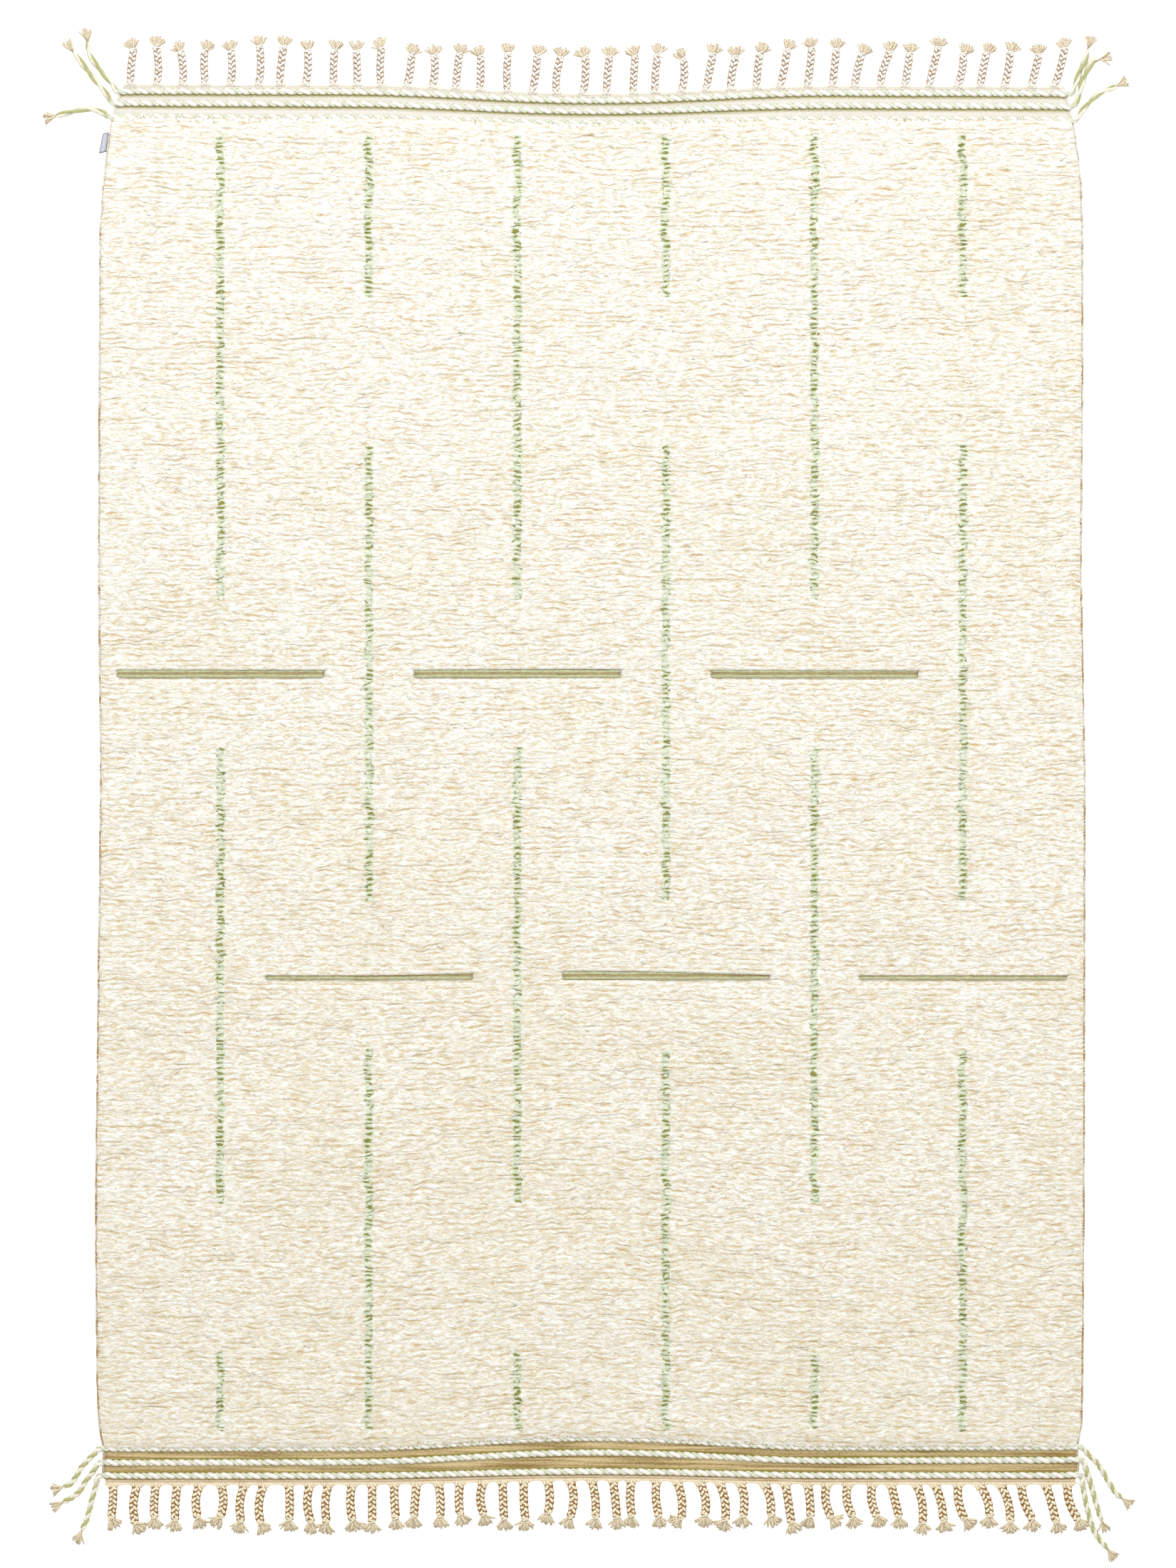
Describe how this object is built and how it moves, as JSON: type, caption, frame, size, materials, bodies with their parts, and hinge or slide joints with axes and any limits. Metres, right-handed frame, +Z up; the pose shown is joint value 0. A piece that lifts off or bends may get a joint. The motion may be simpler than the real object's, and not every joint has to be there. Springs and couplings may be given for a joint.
{
  "type": "beni ourain rug",
  "caption": "Cream wool pile rug lying flat, with fine sage lines and olive bars, flat-woven ends, twined cords and plaited fringes.",
  "frame": {"origin": "middle of the whole footprint, fringes and corner tails included, on the floor", "axes": "+Y along the rug towards the end that is at the top of the picture, +X across it to the picture's right, +Z up from the floor"},
  "size_m": [2.162, 3.0632, 0.0215],
  "materials": {
    "cream_wool": "cut wool pile in rows, with flat-woven ends",
    "twined_yarn": "two-colour twined wool cord, cream and sage",
    "warp_cotton": "plaited cotton warps with knotted tufts",
    "wrapped_edge": "wrapped wool selvedge",
    "blank_tape": "plain woven tape"
  },
  "bodies": {
    "root": {"rug_cloth": "cream_wool", "twined_cord_top_1": "twined_yarn", "twined_cord_top_2": "twined_yarn", "twined_cord_top_3": "twined_yarn", "twined_cord_bottom_1": "twined_yarn", "twined_cord_bottom_2": "twined_yarn", "twined_cord_bottom_3": "twined_yarn", "fringe_top": "warp_cotton", "fringe_bottom": "warp_cotton", "selvedge_left": "wrapped_edge", "selvedge_right": "wrapped_edge", "label_tab": "blank_tape"}
  },
  "joints": []
}
